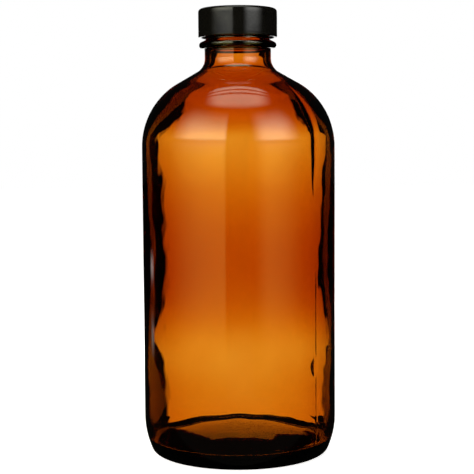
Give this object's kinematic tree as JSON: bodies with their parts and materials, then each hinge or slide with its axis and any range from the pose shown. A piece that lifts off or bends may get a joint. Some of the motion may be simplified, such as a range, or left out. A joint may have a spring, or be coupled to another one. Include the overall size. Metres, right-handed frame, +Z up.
{
  "type": "reagent bottle",
  "caption": "Round-shouldered amber glass reagent bottle with a threaded neck, a smooth black screw cap that unscrews and lifts, and a faced foam sealing liner.",
  "frame": {"origin": "centre of the base, on the plane of the flat ring that the bottle stands on", "axes": "+Z up along the bottle's axis, -Y towards the viewer of the picture"},
  "size_m": [0.075, 0.075, 0.1724],
  "materials": {
    "amber_glass": "gloss",
    "liner_facing": "satin",
    "liner_foam": "matte",
    "black_phenolic": "gloss"
  },
  "bodies": {
    "bottle": {"bottle": "amber_glass"},
    "liner": {"liner_facing": "liner_facing", "liner_backing": "liner_foam"},
    "cap": {"cap": "black_phenolic"}
  },
  "joints": [
    {"name": "cap_lift", "type": "slide", "parent": "bottle", "child": "liner", "axis": [0, 0, 1], "range_m": [0, 0.01693]},
    {"name": "cap_turn", "type": "hinge", "parent": "liner", "child": "cap", "pos_m": [0, 0, 0.1698], "axis": [0, 0, 1], "range_deg": [0, 1440]}
  ],
  "couplings": [
    {"joint": "cap_lift", "follows": "cap_turn", "m_per_rad": 0.00067375}
  ]
}
